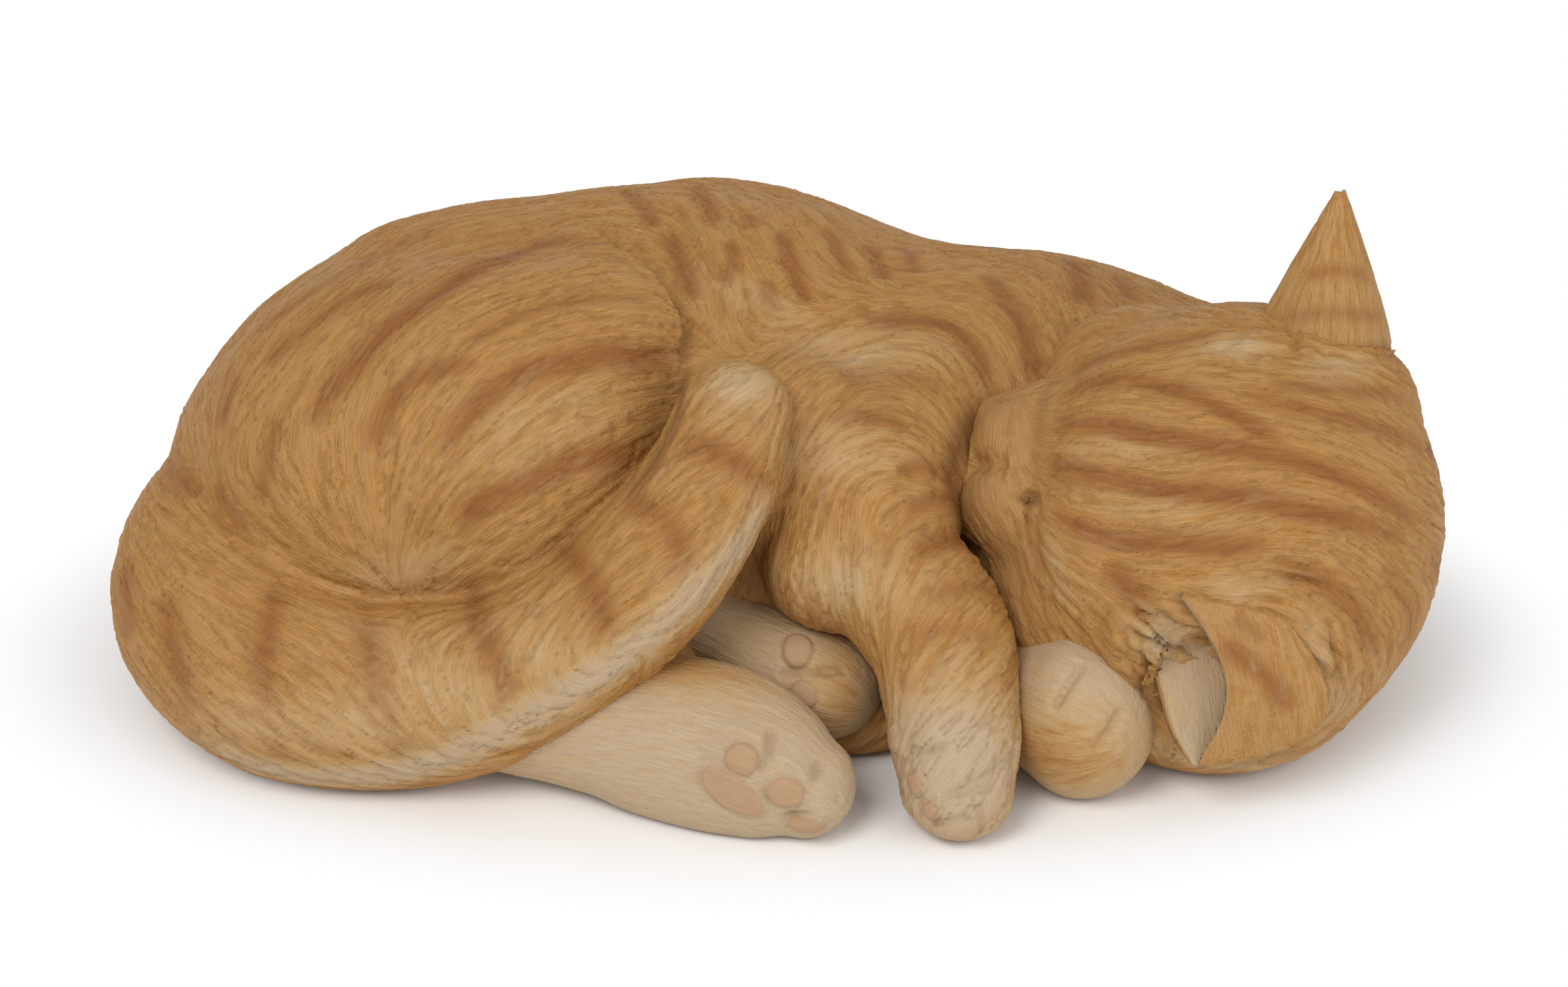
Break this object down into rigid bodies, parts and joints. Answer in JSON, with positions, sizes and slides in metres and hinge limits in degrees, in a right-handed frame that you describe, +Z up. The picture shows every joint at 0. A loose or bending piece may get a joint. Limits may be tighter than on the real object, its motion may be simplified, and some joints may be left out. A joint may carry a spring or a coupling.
{
  "type": "sleeping cat figurine",
  "caption": "Life-like curled sleeping cat figure in painted cast resin, lying on its side with the tail wrapped round, hollow body closed by a base plate on felt pads",
  "frame": {"origin": "on the surface the figure stands on, under the middle of its extent", "axes": "+X from the rump to the head, -Y is the side that the belly and paws face, +Z is up"},
  "size_m": [0.3098, 0.1786, 0.1217],
  "materials": {
    "painted_resin_body": "carved fur, ginger paint with darker stripes, satin matte",
    "painted_resin_head": "carved fur, ginger paint with darker stripes, satin matte",
    "painted_resin_ear": "short carved fur outside, paler inside, satin matte",
    "painted_resin_tail": "carved fur with darker rings and a paler underside, satin matte",
    "painted_resin_leg": "short carved fur, ginger fading to cream at the paw, satin matte",
    "painted_resin_paw": "short carved fur, pale ginger to cream, satin matte",
    "painted_resin_sole": "cream carved fur with pinkish beige pads, satin matte",
    "unpainted_resin": "plain cast surface",
    "felt": "dark pressed felt"
  },
  "bodies": {
    "root": {"torso_shell": "painted_resin_body", "head_shell": "painted_resin_head", "right_ear": "painted_resin_ear", "left_ear": "painted_resin_ear", "tail": "painted_resin_tail", "right_foreleg": "painted_resin_leg", "left_forepaw": "painted_resin_paw", "right_hind_foot": "painted_resin_sole", "left_hind_foot": "painted_resin_sole", "base_plate": "unpainted_resin", "felt_pad_rear_left": "felt", "felt_pad_rear_right": "felt", "felt_pad_front_left": "felt", "felt_pad_front_right": "felt"}
  },
  "joints": []
}
